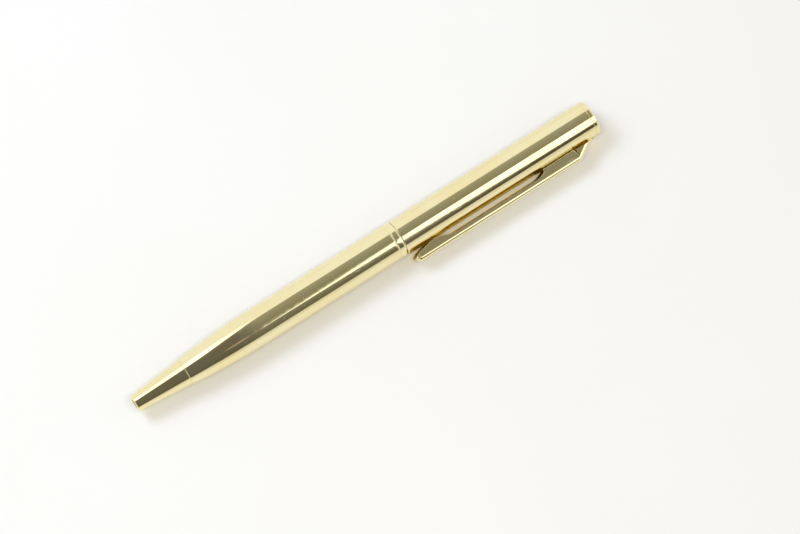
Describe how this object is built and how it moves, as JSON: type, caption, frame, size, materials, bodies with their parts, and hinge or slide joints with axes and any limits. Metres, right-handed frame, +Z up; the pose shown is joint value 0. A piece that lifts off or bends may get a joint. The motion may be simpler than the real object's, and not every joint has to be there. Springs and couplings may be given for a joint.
{
  "type": "mini ballpoint pen",
  "caption": "Slim pale-gold mini ballpoint pen: twist action, tapered barrel, centre band and folded pocket clip, lying on a table.",
  "frame": {"origin": "on the surface that the pen lies on, under the centre of its box", "axes": "+X along the pen from the nose to the cap, +Z up from the surface, the clip towards -Y"},
  "size_m": [0.11, 0.0104, 0.0078],
  "materials": {
    "gold_plate": "polished pale gold plating",
    "plain_brass": "turned brass",
    "steel": "turned steel",
    "white_plastic": "moulded acetal",
    "black_rubber": "O-ring",
    "blue_ink": "oil-based ink"
  },
  "bodies": {
    "lower": {"nose_cone": "gold_plate", "lower_barrel": "gold_plate", "centre_ring": "gold_plate", "barrel_bush": "plain_brass", "mechanism_sleeve": "plain_brass", "thrust_washer": "white_plastic", "friction_ring": "black_rubber"},
    "upper": {"upper_barrel": "gold_plate", "cam_rotor": "plain_brass", "drive_plug": "white_plastic", "grip_sleeve": "white_plastic", "cap_plug": "plain_brass", "cap_screw": "steel", "top_cap": "gold_plate"},
    "clip": {"clip": "gold_plate"},
    "refill": {"refill_holder": "white_plastic", "drive_pin": "steel", "refill_tube": "plain_brass", "refill_tip": "steel", "refill_ball": "steel", "refill_ink": "blue_ink"}
  },
  "joints": [
    {"name": "twist", "type": "hinge", "parent": "lower", "child": "upper", "pos_m": [0.0078, 0.0013, 0.0039], "axis": [-1, 0, 0], "range_deg": [0, 180]},
    {"name": "refill_slide", "type": "slide", "parent": "lower", "child": "refill", "axis": [-1, 0, 0], "range_m": [0, 0.005]},
    {"name": "clip_flex", "type": "hinge", "parent": "upper", "child": "clip", "pos_m": [0.0522, -0.00203, 0.00282], "axis": [0, -0.3085, 0.9512], "range_deg": [0, 2.5], "stiffness_Nm_per_rad": 4}
  ],
  "couplings": [
    {"joint": "refill_slide", "follows": "twist", "m_per_rad": 0.0015915}
  ]
}
